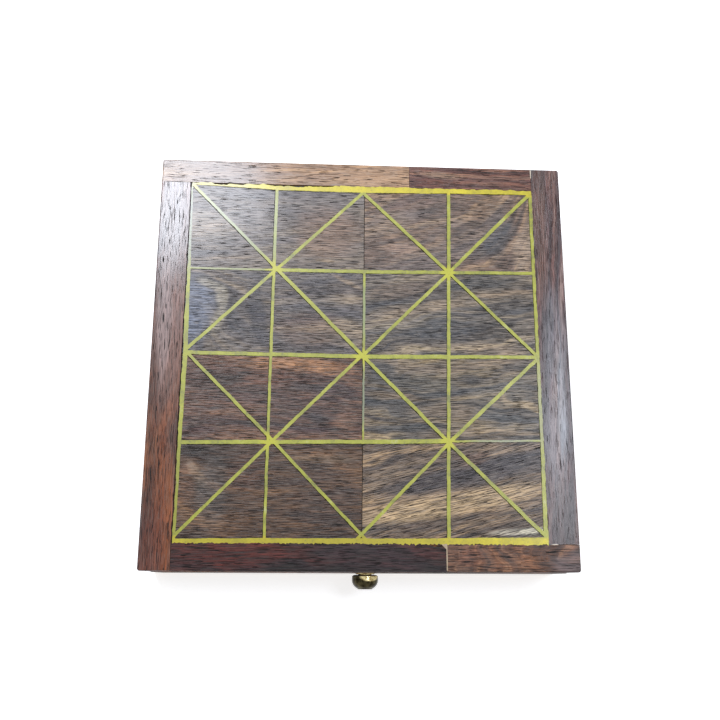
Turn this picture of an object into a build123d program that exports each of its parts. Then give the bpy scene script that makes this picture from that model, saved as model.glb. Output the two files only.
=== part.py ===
"""Bagh chal game board on a drawer case, in sheesham with brass fittings.

Millimetres, +Z up. The origin is the centre of the case's underside, X runs left to right and
Y front to back. The drawer opens towards -Y. Every piece is modelled with the drawer shut.
"""

from build123d import *
import os

os.makedirs("parts", exist_ok=True)

# Case
case_width = 203.2
case_depth = 203.2
case_height = 44.0
corner_radius = 1.2
top_edge_radius = 0.6
side_wall_thickness = 4.5
back_wall_thickness = 6.0
back_wall_let_in = 2.0
bottom_thickness = 3.0

# Border of the board: strips butted end to end round the field like a pinwheel
rail_thickness = 6.5
side_rail_width = 14.7
back_rail_width = 12.2
front_rail_width = 12.6
back_rail_joint_x = 23.8
front_rail_joint_x = 39.2
rail_joint_gap = 0.15

# Field of the board: thin slats on a core panel that is let in under the border
slat_thickness = 3.0
slat_seam = 0.3
core_overlap = 5.0
core_clearance = 0.2

# Game lines: an even grid a little inside the field, where each line drifts as the hand saw did. A column is
# straight, and a row is sawn in two halves that meet at the middle column. A diagonal passes its crossings by
# its drifts in x. Columns run from the left to the right, rows from the back to the front
lines_each_way = 5
line_inset = 1.1
column_drift_at_back = [0.1, -1.0, 0.9, 0.9, 0.2]
column_drift_at_front = [0.1, -2.2, -0.1, -3.0, 0.2]
row_drift_at_left = [-0.6, -1.1, 0.05, 0.55, 0]
row_drift_in_middle = [-0.6, -1.1, -0.7, 1.7, 0]
row_drift_at_right = [-0.6, -0.05, 0.5, 3.25, 0]
diagonal_drift_at_back = [[0, 1, -3, 0], [1, 2, 0.5, 0], [1, -1.5, 0, 0.5], [1.5, 3, 1, -0.5]]
diagonal_drift_at_front = [[2, 1, 0, 0], [-1, 0, -1, 0], [3, 1.5, -0.5, 1], [-2, 2, -3, 2]]
line_depth = 1.2
filler_recess = 0.12
line_overrun = 0.8

# Line widths, one for each stretch between two crossings; 0 leaves the bare seam of the slats
row_widths = [[0.9, 1.7, 1.8, 1.6], [1.8, 1.9, 2.0, 1.7], [1.8, 1.8, 2.0, 0.9]]
column_widths = [[1.5, 1.4, 1.3, 1.3], [0, 1.2, 0.9, 0], [1.7, 1.6, 1.6, 1.6]]
diagonal_widths = [[1.4, 1.6, 1.6, 1.7], [1.6, 1.7, 1.6, 1.5], [1.5, 1.5, 1.6, 1.7], [1.5, 1.4, 1.5, 1.7]]

# Widths of the border line at its five crossings, from the back or from the left
left_line_widths = [0.8, 1.7, 2.6, 1.8, 1.4]
right_line_widths = [1.9, 1.8, 1.8, 1.8, 2.4]
back_line_widths = [1.3, 3.4, 3.7, 2.9, 2.5]
front_line_widths = [1.5, 1.9, 2.0, 2.3, 3.1]

# Pale wood filler where the border strips don't quite meet
filler_depth = 2.0
front_joint_filler_width = 0.5
front_joint_chip = 2.4
corner_filler_width = 0.6
corner_filler_length = 4.5

# Panel pins
pin_radius = 0.8
pin_length = 12.0
side_wall_pins = 3
back_wall_pins = 2
end_pin_inset = 15.0

# Drawer
drawer_side_clearance = 0.35
drawer_top_clearance = 0.6
drawer_back_gap = 0.4
drawer_front_thickness = 8.0
drawer_front_proud = 0.4
drawer_front_lift = 0.3
drawer_front_edge_radius = 0.5
drawer_side_thickness = 5.0
drawer_side_headroom = 7.5
drawer_side_lap = 5.0
drawer_back_thickness = 5.0
drawer_back_let_in = 2.0
drawer_bottom_thickness = 2.5
drawer_bottom_groove = 2.0
drawer_bottom_lift = 1.5
panel_play = 0.2
divider_thickness = 4.0
divider_drop = 3.0
divider_let_in = 1.5
tiger_tray_depth = 46.0
lining_thickness = 0.8
lining_margin = 0.3

# Knob, turned from brass bar, its washer and its screw
knob_x = 2.8
knob_radius = 6.3
knob_length = 7.0
knob_neck_radius = 3.3
knob_neck_length = 0.3
knob_shoulder = 0.9
knob_shoulder_length = 0.6
knob_rim_length = 2.0
knob_side_bulge = 0.6
knob_end_radius = 3.4
knob_end_round = 0.4
rose_radius = 4.6
rose_thickness = 0.5
screw_radius = 1.5
screw_clearance = 0.1
screw_reach = 4.0
screw_tip_gap = 0.6
screw_head_radius = 3.0
screw_head_height = 2.0
screw_slot_width = 0.8
screw_slot_depth = 1.0

# Playing pieces: the tigers are as tall as the drawer takes, less the room above them
tiger_headroom = 3.7
tiger_radius = 10.0
tiger_foot_height = 2.3
tiger_waist_radius = 5.5
tiger_waist_height = 7.0
tiger_neck_radius = 3.2
tiger_collar_radius = 6.0
tiger_collar_height = 1.8
tiger_head_radius = 5.0
tiger_count = 4
tiger_gap = 3.0
goat_height = 18.0
goat_radius = 7.0
goat_top_radius = 3.5
goat_bevel = 2.1
goat_gap = 2.5
goat_columns = 5
goat_rows = 4
goat_stagger = 3.0
piece_edge_gap = 3.0

# Levels and edges that several pieces share
half_width = case_width / 2
half_depth = case_depth / 2
rail_low = case_height - rail_thickness
slat_low = case_height - slat_thickness
field_left = side_rail_width - half_width
field_right = half_width - side_rail_width
field_front = front_rail_width - half_depth
field_back = half_depth - back_rail_width
wall_inner_x = half_width - side_wall_thickness
wall_inner_back = half_depth - back_wall_thickness
drawer_half_width = wall_inner_x - drawer_side_clearance
tray_half_width = drawer_half_width - drawer_side_thickness
drawer_face_y = -half_depth - drawer_front_proud
front_inner_y = drawer_face_y + drawer_front_thickness
drawer_back_y = wall_inner_back - drawer_back_gap
back_inner_y = drawer_back_y - drawer_back_thickness
drawer_low = bottom_thickness
panel_low = drawer_low + drawer_bottom_lift
panel_high = panel_low + drawer_bottom_thickness
side_high = rail_low - drawer_side_headroom
front_low = drawer_low + drawer_front_lift
front_high = rail_low - drawer_top_clearance
divider_front_y = front_inner_y + tiger_tray_depth
divider_back_y = divider_front_y + divider_thickness
floor_level = panel_high + lining_thickness
knob_z = (front_low + front_high) / 2
tiger_height = rail_low - tiger_headroom - floor_level
tiger_pitch = 2 * tiger_radius + tiger_gap
goat_pitch = 2 * goat_radius + goat_gap
middle_column = lines_each_way // 2


def block(x_low, x_high, y_low, y_high, z_low, z_high):
    """A box between two values on each axis."""
    size = (x_high - x_low, y_high - y_low, z_high - z_low)
    centre = ((x_low + x_high) / 2, (y_low + y_high) / 2, (z_low + z_high) / 2)
    return Pos(*centre) * Box(*size)


def outline(points):
    """A flat face through corner points."""
    return make_face(Polyline(*points, close=True))


def prism(face, z_low, z_high):
    """A flat face given height between two levels."""
    return Pos(0, 0, z_low) * extrude(face, z_high - z_low, dir=(0, 0, 1))


def sanded_case():
    """The closed case's outside, with the corners and top edges rounded as by sanding."""
    case = block(-half_width, half_width, -half_depth, half_depth, 0, case_height)
    case = fillet(case.edges().filter_by(Axis.Z), corner_radius)
    return fillet(case.faces().sort_by(Axis.Z)[-1].edges(), top_edge_radius)


def core_panel():
    """The panel under the slats, held in a rebate round the inside of the border."""
    reach = core_overlap - core_clearance
    return block(
        field_left - reach, field_right + reach, field_front - reach, field_back + reach, rail_low, slat_low
    )


def core_rebate():
    """The space that the border's rebate leaves for the core panel."""
    reach = core_overlap
    return block(
        field_left - reach, field_right + reach, field_front - reach, field_back + reach, rail_low, slat_low
    )


def joint_filler():
    """Filler in the front border's joint, with the chip beside it, and at two corner joints."""
    half = front_joint_filler_width / 2
    front_joint = outline([
        (front_rail_joint_x - half, -half_depth + top_edge_radius),
        (front_rail_joint_x + half, -half_depth + top_edge_radius),
        (front_rail_joint_x + half, field_front),
        (front_rail_joint_x - half - front_joint_chip, field_front),
        (front_rail_joint_x - half, field_front - front_joint_chip),
    ])
    half = corner_filler_width / 2
    corner_end = field_right + corner_filler_length
    front_corner = outline([
        (field_right, field_front - half),
        (corner_end, field_front - half / 2),
        (corner_end, field_front + half / 2),
        (field_right, field_front + half),
    ])
    corner_end = half_depth - top_edge_radius
    back_corner = outline([
        (field_right - half, corner_end),
        (field_right + half, corner_end),
        (field_right + half / 2, corner_end - corner_filler_length),
        (field_right - half / 2, corner_end - corner_filler_length),
    ])
    faces = [front_joint, front_corner, back_corner]
    return [prism(face, case_height - filler_depth, case_height) for face in faces]


def border_rails(case, fillers):
    """The six strips of the border. Each long side runs past one corner and stops at the next."""
    gap = rail_joint_gap / 2
    spans = {
        "top_rail_left": (-half_width, field_left - gap, -half_depth, field_back - gap),
        "top_rail_right": (field_right + gap, half_width, field_front + gap, half_depth),
        "top_rail_back_long": (-half_width, back_rail_joint_x - gap, field_back, half_depth),
        "top_rail_back_short": (back_rail_joint_x + gap, field_right - gap, field_back, half_depth),
        "top_rail_front_long": (field_left + gap, front_rail_joint_x - gap, -half_depth, field_front),
        "top_rail_front_short": (front_rail_joint_x + gap, half_width, -half_depth, field_front - gap),
    }
    rails = {}
    for name, (x_low, x_high, y_low, y_high) in spans.items():
        rail = case & block(x_low, x_high, y_low, y_high, rail_low, case_height)
        rail = rail - core_rebate()
        for filler in fillers:
            rail = rail - filler
        rails[name] = rail
    return rails


def spread(count, low, high):
    """Evenly spread places from low to high."""
    return [low + index * (high - low) / (count - 1) for index in range(count)]


def column_line(column):
    """A column line's x at the field's back, and how far it moves in x for each millimetre forward."""
    x_at_back = spread(lines_each_way, field_left + line_inset, field_right - line_inset)[column]
    lean = (column_drift_at_front[column] - column_drift_at_back[column]) / (field_back - field_front)
    return x_at_back + column_drift_at_back[column], lean


def row_points(row):
    """The left end of a row line, the point on the middle column where its halves meet, and its right end."""
    even_y = spread(lines_each_way, field_back - line_inset, field_front + line_inset)[row]
    middle_y = even_y + row_drift_in_middle[row]
    x_at_back, lean = column_line(middle_column)
    return [
        (field_left, even_y + row_drift_at_left[row]),
        (x_at_back + lean * (field_back - middle_y), middle_y),
        (field_right, even_y + row_drift_at_right[row]),
    ]


def crossing(row, column):
    """Where a row line and a column line meet."""
    left, middle, right = row_points(row)
    if column == middle_column:
        return middle
    end = left if column < middle_column else right
    slope = (middle[1] - end[1]) / (middle[0] - end[0])
    x_at_back, lean = column_line(column)
    x = (x_at_back + lean * (field_back - end[1] + slope * end[0])) / (1 + lean * slope)
    return (x, end[1] + slope * (x - end[0]))


def sawn_line(start, end, width):
    """The footprint of one straight saw cut, run on a little past both ends."""
    run = Line(start, end)
    angle = run.tangent_angle_at(0)
    cut = Rectangle(run.length + 2 * line_overrun, width)
    return Pos(*(run @ 0.5)) * Rot(0, 0, angle) * cut


def border_line():
    """The footprint of the line along the border, whose width changes from crossing to crossing."""
    last = lines_each_way - 1
    between = range(1, last)
    left_y = [field_back] + [crossing(row, 0)[1] for row in between] + [field_front]
    right_y = [field_back] + [crossing(row, last)[1] for row in between] + [field_front]
    back_x = [field_left] + [crossing(0, column)[0] for column in between] + [field_right]
    front_x = [field_left] + [crossing(last, column)[0] for column in between] + [field_right]
    left = [(field_left + width, y) for width, y in zip(left_line_widths, left_y)]
    right = [(field_right - width, y) for width, y in zip(right_line_widths, right_y)]
    back = [(x, field_back - width) for width, x in zip(back_line_widths, back_x)]
    front = [(x, field_front + width) for width, x in zip(front_line_widths, front_x)]
    return [
        outline([(field_left, field_back)] + left + [(field_left, field_front)]),
        outline([(field_right, field_back)] + right + [(field_right, field_front)]),
        outline([(field_left, field_back)] + back + [(field_right, field_back)]),
        outline([(field_left, field_front)] + front + [(field_right, field_front)]),
    ]


def line_footprint():
    """All the game lines as one flat figure, kept inside the field."""
    cuts = border_line()
    for index, widths in enumerate(row_widths):
        for column, width in enumerate(widths):
            cuts.append(sawn_line(crossing(index + 1, column), crossing(index + 1, column + 1), width))
    for index, widths in enumerate(column_widths):
        for row, width in enumerate(widths):
            if width > 0:
                cuts.append(sawn_line(crossing(row, index + 1), crossing(row + 1, index + 1), width))
    for row, widths in enumerate(diagonal_widths):
        for column, width in enumerate(widths):
            turn = (row + column) % 2
            start_x, start_y = crossing(row, column + turn)
            end_x, end_y = crossing(row + 1, column + 1 - turn)
            start = (start_x + diagonal_drift_at_back[row][column], start_y)
            end = (end_x + diagonal_drift_at_front[row][column], end_y)
            cuts.append(sawn_line(start, end, width))
    field = outline([
        (field_left, field_front), (field_right, field_front),
        (field_right, field_back), (field_left, field_back),
    ])
    figure = cuts[0]
    for cut in cuts[1:]:
        figure = figure + cut
    return figure & field


def slat_joint(row):
    """The left end, middle and right end of the joint that a row line covers, or of the field's edge."""
    points = row_points(row)
    if row == 0:
        return [(x, field_back) for x, y in points]
    if row == lines_each_way - 1:
        return [(x, field_front) for x, y in points]
    return points


def board_slats(groove):
    """Eight slats, four rows in two columns, parted along the game lines and sawn together."""
    slats = {}
    for row in range(lines_each_way - 1):
        behind = slat_joint(row)
        before = slat_joint(row + 1)
        for index, side in enumerate(("left", "right")):
            corners = behind[index:index + 2] + before[index:index + 2][::-1]
            face = offset(outline(corners), -slat_seam / 2, kind=Kind.INTERSECTION)
            slat = prism(face, slat_low, case_height) - groove
            slats[f"board_slat_{row + 1}_{side}"] = slat
    return slats


def case_walls(case):
    """Two side walls with a rebate for the back wall, the back wall, and the bottom panel."""
    back_reach = wall_inner_x + back_wall_let_in
    back = block(-back_reach, back_reach, wall_inner_back, half_depth, bottom_thickness, rail_low)
    left = block(-half_width, -wall_inner_x, -half_depth, half_depth, bottom_thickness, rail_low)
    right = block(wall_inner_x, half_width, -half_depth, half_depth, bottom_thickness, rail_low)
    bottom = block(-half_width, half_width, -half_depth, half_depth, 0, bottom_thickness)
    return {
        "case_side_left": (case & left) - back,
        "case_side_right": (case & right) - back,
        "case_back": case & back,
        "case_bottom": case & bottom,
    }


def panel_pin(place):
    """One headless pin, driven flush, that starts at the place given and runs along its Z."""
    return place * Cylinder(pin_radius, pin_length, align=(Align.CENTER, Align.CENTER, Align.MIN))


def bottom_pins():
    """Pins up through the bottom panel into the side walls and the back wall."""
    side_x = half_width - side_wall_thickness / 2
    places = []
    for y in spread(side_wall_pins, end_pin_inset - half_depth, half_depth - end_pin_inset):
        places.append((-side_x, y))
        places.append((side_x, y))
    back_y = half_depth - back_wall_thickness / 2
    reach = half_width - 3 * end_pin_inset
    for x in spread(back_wall_pins, -reach, reach):
        places.append((x, back_y))
    return [panel_pin(Pos(x, y, 0)) for x, y in places]


def drawer_boards():
    """The drawer's front, sides, back, bottom and divider, with their laps, housings and grooves."""
    lap_y = front_inner_y - drawer_side_lap
    back_reach = tray_half_width + drawer_back_let_in
    divider_reach = tray_half_width + divider_let_in
    divider_high = side_high - divider_drop
    groove_reach = tray_half_width + drawer_bottom_groove
    panel_reach = groove_reach - panel_play

    back = block(-back_reach, back_reach, back_inner_y, drawer_back_y, panel_high, side_high)
    divider = block(-divider_reach, divider_reach, divider_front_y, divider_back_y, panel_high, divider_high)
    bottom = block(
        -panel_reach, panel_reach,
        front_inner_y - drawer_bottom_groove + panel_play, drawer_back_y, panel_low, panel_high,
    )
    groove = block(
        -groove_reach, groove_reach,
        front_inner_y - drawer_bottom_groove, drawer_back_y + drawer_back_gap, panel_low, panel_high,
    )
    left = block(-drawer_half_width, -tray_half_width, lap_y, drawer_back_y, drawer_low, side_high)
    right = block(tray_half_width, drawer_half_width, lap_y, drawer_back_y, drawer_low, side_high)
    front = block(
        -drawer_half_width, drawer_half_width, drawer_face_y, front_inner_y, front_low, front_high
    )
    front = fillet(front.faces().sort_by(Axis.Y)[0].edges(), drawer_front_edge_radius)
    screw_hole = Cylinder(screw_radius + screw_clearance, 3 * drawer_front_thickness)
    screw_hole = Pos(knob_x, front_inner_y, knob_z) * Rot(90, 0, 0) * screw_hole
    return {
        "drawer_front": front - left - right - groove - screw_hole,
        "drawer_side_left": left - back - divider - groove,
        "drawer_side_right": right - back - divider - groove,
        "drawer_back": back,
        "drawer_bottom": bottom,
        "drawer_divider": divider,
    }


def tray_lining(y_low, y_high):
    """Velvet laid on the drawer's floor, cut a little short of the boards round it."""
    reach = tray_half_width - lining_margin
    return block(-reach, reach, y_low + lining_margin, y_high - lining_margin, panel_high, floor_level)


def turned(profile):
    """A solid turned about Z from a closed line of edges in the XZ plane."""
    return revolve(make_face(Plane.XZ * profile), Axis.Z)


def on_drawer_front(distance):
    """A place on the knob's axis, distance out from the drawer's face, with Z pointing out."""
    return Pos(knob_x, drawer_face_y - distance, knob_z) * Rot(90, 0, 0)


def drawer_knob():
    """A bun-shaped knob with a short neck, a full rim near the drawer and a flat end."""
    rim_low = (knob_radius, knob_neck_length + knob_shoulder_length)
    rim_high = (knob_radius, rim_low[1] + knob_rim_length)
    end_edge = (knob_end_radius + knob_end_round, knob_length - knob_end_round)
    profile = Polyline(
        (0, 0), (knob_neck_radius, 0), (knob_neck_radius, knob_neck_length),
        (knob_radius - knob_shoulder, knob_neck_length), rim_low, rim_high,
    )
    profile += SagittaArc(rim_high, end_edge, -knob_side_bulge)
    profile += Polyline(end_edge, (knob_end_radius, knob_length), (0, knob_length), (0, 0))
    hole = Cylinder(
        screw_radius, screw_reach + screw_tip_gap, align=(Align.CENTER, Align.CENTER, Align.MIN)
    )
    return on_drawer_front(rose_thickness) * (turned(profile) - hole)


def knob_rose():
    """The washer between the knob and the drawer's face."""
    rose = Cylinder(rose_radius, rose_thickness, align=(Align.CENTER, Align.CENTER, Align.MIN))
    rose = chamfer(rose.faces().sort_by(Axis.Z)[-1].edges(), rose_thickness / 3)
    hole = Cylinder(screw_radius + screw_clearance, 4 * rose_thickness)
    return on_drawer_front(0) * (rose - hole)


def knob_screw():
    """The slotted screw that runs from inside the drawer through its front into the knob."""
    reach = drawer_front_thickness + rose_thickness + screw_reach
    shank = Cylinder(screw_radius, reach, align=(Align.CENTER, Align.CENTER, Align.MIN))
    head = Cylinder(screw_head_radius, screw_head_height, align=(Align.CENTER, Align.CENTER, Align.MAX))
    head = chamfer(head.faces().sort_by(Axis.Z)[0].edges(), screw_head_height / 4)
    slot = Pos(0, 0, -screw_head_height) * Box(
        3 * screw_head_radius, screw_slot_width, 2 * screw_slot_depth
    )
    return on_drawer_front(-drawer_front_thickness) * (head + shank - slot)


def tiger_pawn():
    """A tall turned pawn: a straight foot, a stem tapered in two steps, a collar and a round head."""
    head_level = tiger_height - tiger_head_radius
    head_low = head_level - (tiger_head_radius ** 2 - tiger_neck_radius ** 2) ** 0.5
    collar_level = head_low - tiger_collar_height
    neck = (tiger_neck_radius, head_low)
    profile = Polyline(
        (0, 0), (tiger_radius, 0), (tiger_radius, tiger_foot_height),
        (tiger_waist_radius, tiger_waist_height), (tiger_neck_radius, collar_level),
        (tiger_collar_radius, collar_level), neck,
    )
    profile += ThreePointArc(neck, (tiger_head_radius, head_level), (0, tiger_height))
    profile += Line((0, tiger_height), (0, 0))
    return turned(profile)


def goat_pawn():
    """A short conical pawn with its top bevelled."""
    profile = Polyline(
        (0, 0), (goat_radius, 0), (goat_top_radius, goat_height - goat_bevel),
        (goat_top_radius - goat_bevel, goat_height), (0, goat_height), (0, 0),
    )
    return turned(profile)


def tiger_pieces():
    """Four tall pawns in a row at the left end of the front tray."""
    pawn = tiger_pawn()
    first_x = -tray_half_width + piece_edge_gap + tiger_radius
    y = front_inner_y + tiger_tray_depth / 2
    return [Pos(first_x + index * tiger_pitch, y, floor_level) * pawn for index in range(tiger_count)]


def goat_pieces():
    """Twenty small pawns in staggered rows at the left of the back tray."""
    pawn = goat_pawn()
    first_x = -tray_half_width + piece_edge_gap + goat_radius
    first_y = divider_back_y + piece_edge_gap + goat_radius
    pieces = []
    for row in range(goat_rows):
        for column in range(goat_columns):
            x = first_x + column * goat_pitch + goat_stagger * (row % 2)
            pieces.append(Pos(x, first_y + row * goat_pitch, floor_level) * pawn)
    return pieces


def drilled(nodes, names, pins):
    """Bore the named pieces for the pins that run through them."""
    for name in names:
        for pin in pins:
            nodes[name] = nodes[name] - pin


case = sanded_case()
fillers = joint_filler()
footprint = line_footprint()
groove = prism(footprint, case_height - line_depth, case_height)

nodes = border_rails(case, fillers)
nodes.update(board_slats(groove))
nodes["line_inlay"] = prism(footprint, case_height - line_depth, case_height - filler_recess)
nodes["core_panel"] = core_panel()
nodes.update(case_walls(case))
nodes.update(drawer_boards())

case_pins = bottom_pins()
drilled(nodes, ["case_side_left", "case_side_right", "case_back", "case_bottom"], case_pins)

nodes["joint_filler"] = Compound(children=fillers)
nodes["bottom_pins"] = Compound(children=case_pins)
nodes["tiger_tray_lining"] = tray_lining(front_inner_y, divider_front_y)
nodes["goat_tray_lining"] = tray_lining(divider_back_y, back_inner_y)
nodes["drawer_knob"] = drawer_knob()
nodes["knob_rose"] = knob_rose()
nodes["knob_screw"] = knob_screw()
nodes["tiger_pieces"] = Compound(children=tiger_pieces())
nodes["goat_pieces"] = Compound(children=goat_pieces())

for name, shape in nodes.items():
    export_step(shape, f"parts/{name}.step")
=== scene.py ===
"""Bagh chal board on its drawer case, built up in the order in which the case is put together."""

import math

import bpy
from mathutils import Matrix, Vector


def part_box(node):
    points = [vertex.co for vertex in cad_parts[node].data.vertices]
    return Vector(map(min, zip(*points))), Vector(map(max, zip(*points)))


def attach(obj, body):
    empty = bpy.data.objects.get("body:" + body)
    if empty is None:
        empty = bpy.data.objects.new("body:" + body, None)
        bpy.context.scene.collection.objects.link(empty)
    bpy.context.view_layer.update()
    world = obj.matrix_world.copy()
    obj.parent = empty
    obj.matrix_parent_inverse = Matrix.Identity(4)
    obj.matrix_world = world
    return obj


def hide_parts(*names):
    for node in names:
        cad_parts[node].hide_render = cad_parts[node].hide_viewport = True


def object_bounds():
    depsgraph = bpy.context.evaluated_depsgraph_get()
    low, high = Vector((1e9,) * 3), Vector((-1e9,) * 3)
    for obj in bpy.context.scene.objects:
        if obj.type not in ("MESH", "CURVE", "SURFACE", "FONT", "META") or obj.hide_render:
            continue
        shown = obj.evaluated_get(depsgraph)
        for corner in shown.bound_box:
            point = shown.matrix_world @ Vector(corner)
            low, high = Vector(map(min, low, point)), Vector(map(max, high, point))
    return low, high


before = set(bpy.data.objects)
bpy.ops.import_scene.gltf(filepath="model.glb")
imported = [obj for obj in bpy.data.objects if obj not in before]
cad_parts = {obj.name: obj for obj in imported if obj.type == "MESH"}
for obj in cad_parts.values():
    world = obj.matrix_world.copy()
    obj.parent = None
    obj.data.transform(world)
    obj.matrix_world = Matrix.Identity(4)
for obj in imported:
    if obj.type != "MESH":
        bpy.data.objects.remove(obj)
cad_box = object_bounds()


# Bottom panel, drawer bottom and the core panel under the slats: thin three-ply, sawn square and left dry.
# The middle ply runs the other way, so a cut edge shows a dark stripe of end grain between two pale ones.
def linear(code):
    """An sRGB hex colour as the linear colour that a shader takes."""
    parts = [int(code[place:place + 2], 16) / 255 for place in (1, 3, 5)]
    return [part / 12.92 if part < 0.04045 else ((part + 0.055) / 1.055) ** 2.4 for part in parts] + [1]


def add(tree, kind, inputs, stops=(), **settings):
    """Adds a node with its settings, and gives each named input a value or another node's output.

    stops are a colour ramp's, as pairs of place and hex colour. A Mix node's sockets share their names, so
    they go by number: 4 and 5 to 1 for vectors, 6 and 7 to 2 for colours."""
    made = tree.nodes.new("ShaderNode" + kind)
    for name, value in settings.items():
        setattr(made, name, value)
    for name, value in inputs.items():
        if isinstance(value, bpy.types.NodeSocket):
            tree.links.new(value, made.inputs[name])
        else:
            made.inputs[name].default_value = value
    if stops:
        elements = made.color_ramp.elements
        while len(elements) < len(stops):
            elements.new(1)
        for element, (place, code) in zip(elements, stops):
            element.position = place
            element.color = linear(code)
    return made


def finish_node(node, material):
    """Puts a material on every slot of a CAD node."""
    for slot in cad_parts[node].material_slots:
        slot.material = material


def plywood(name, low, thickness, face, core):
    """Three-ply seen from any side: plies by height in mm, long fibres in the faces and a crosswise core.

    Scales are per mm: fibres 33 mm long and 0.7 mm wide, in clouds 50 mm across."""
    middle = low + thickness / 2
    half_core = thickness / 6
    face_fibres = (0.03, 1.4, 1.4)
    core_fibres = (1.4, 0.03, 1.4)
    cloud_scale = 0.02
    cloud_share = 0.35
    material = bpy.data.materials.new(name)
    material.use_nodes = True
    tree = material.node_tree
    shader = tree.nodes["Principled BSDF"]
    place = add(tree, "TexCoord", {}).outputs["Object"]
    mm = add(tree, "VectorMath", {0: place, "Scale": 1000}, operation="SCALE").outputs[0]
    height = add(tree, "SeparateXYZ", {0: mm}).outputs["Z"]
    height = add(tree, "Math", {0: height, 1: middle}, operation="SUBTRACT").outputs[0]
    depth = add(tree, "Math", {0: height}, operation="ABSOLUTE").outputs[0]
    in_core = add(tree, "Math", {0: depth, 1: half_core}, operation="LESS_THAN").outputs[0]
    along_x = add(tree, "VectorMath", {0: mm, 1: face_fibres}, operation="MULTIPLY").outputs[0]
    along_y = add(tree, "VectorMath", {0: mm, 1: core_fibres}, operation="MULTIPLY").outputs[0]
    fibres = add(tree, "Mix", {0: in_core, 4: along_x, 5: along_y}, data_type="VECTOR").outputs[1]
    grain = add(tree, "TexNoise", {"Vector": fibres, "Scale": 1, "Detail": 4, "Roughness": 0.6}).outputs[0]
    cloud = add(tree, "TexNoise", {"Vector": mm, "Scale": cloud_scale, "Detail": 2}).outputs["Fac"]
    blend = add(tree, "Math", {0: cloud, 1: cloud_share, 2: grain}, operation="MULTIPLY_ADD").outputs[0]
    pale = add(tree, "ValToRGB", {"Fac": blend}, stops=list(zip((0.42, 0.66, 0.9), face))).outputs[0]
    dark = add(tree, "ValToRGB", {"Fac": grain}, stops=list(zip((0.35, 0.65), core))).outputs[0]
    colour = add(tree, "Mix", {0: in_core, 6: pale, 7: dark}, data_type="RGBA").outputs[2]
    tree.links.new(colour, shader.inputs["Base Color"])
    shader.inputs["Roughness"].default_value = 0.72
    bump = add(tree, "Bump", {"Height": grain, "Strength": 0.35, "Distance": 0.0001})
    tree.links.new(bump.outputs[0], shader.inputs["Normal"])
    return material


for node in ("case_bottom", "drawer_bottom", "core_panel"):
    low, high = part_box(node)
    finish_node(node, plywood(
        f"birch_plywood_{node}", low=low.z * 1000, thickness=(high.z - low.z) * 1000,
        face=("#a98a62", "#c9ab80", "#dbc39a"), core=("#7d5f3f", "#9a7850"),
    ))


# Walls of the case: planed sheesham boards, grain along their length, glued at the back corners.
# Sheesham is a brown rosewood with dark, tan and blue-grey streaks. Its open pores show as dark dashes.
def stain_or_painted_light(tree, colour, place, patch):
    """Mixes a soft patch, a real stain or painted light, into a colour: x, y, half length, half width, rise
    in degrees, colour, strength.

    All lengths are in mm, and the patch goes right through the wood."""
    x, y, length, width, rise, code, strength = patch
    depth = 1000
    near = add(tree, "Mapping", {
        "Vector": place, "Location": (x, y, 0), "Rotation": (0, 0, math.radians(rise)),
        "Scale": (length, width, depth),
    }, vector_type="TEXTURE").outputs[0]
    near = add(tree, "VectorMath", {0: near}, operation="LENGTH").outputs["Value"]
    amount = add(tree, "MapRange", {
        "Value": near, "From Min": 0.4, "From Max": 1.2, "To Min": strength, "To Max": 0,
    }, interpolation_type="SMOOTHERSTEP").outputs[0]
    return add(tree, "Mix", {0: amount, 6: colour, 7: linear(code)}, data_type="RGBA").outputs[2]


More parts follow.
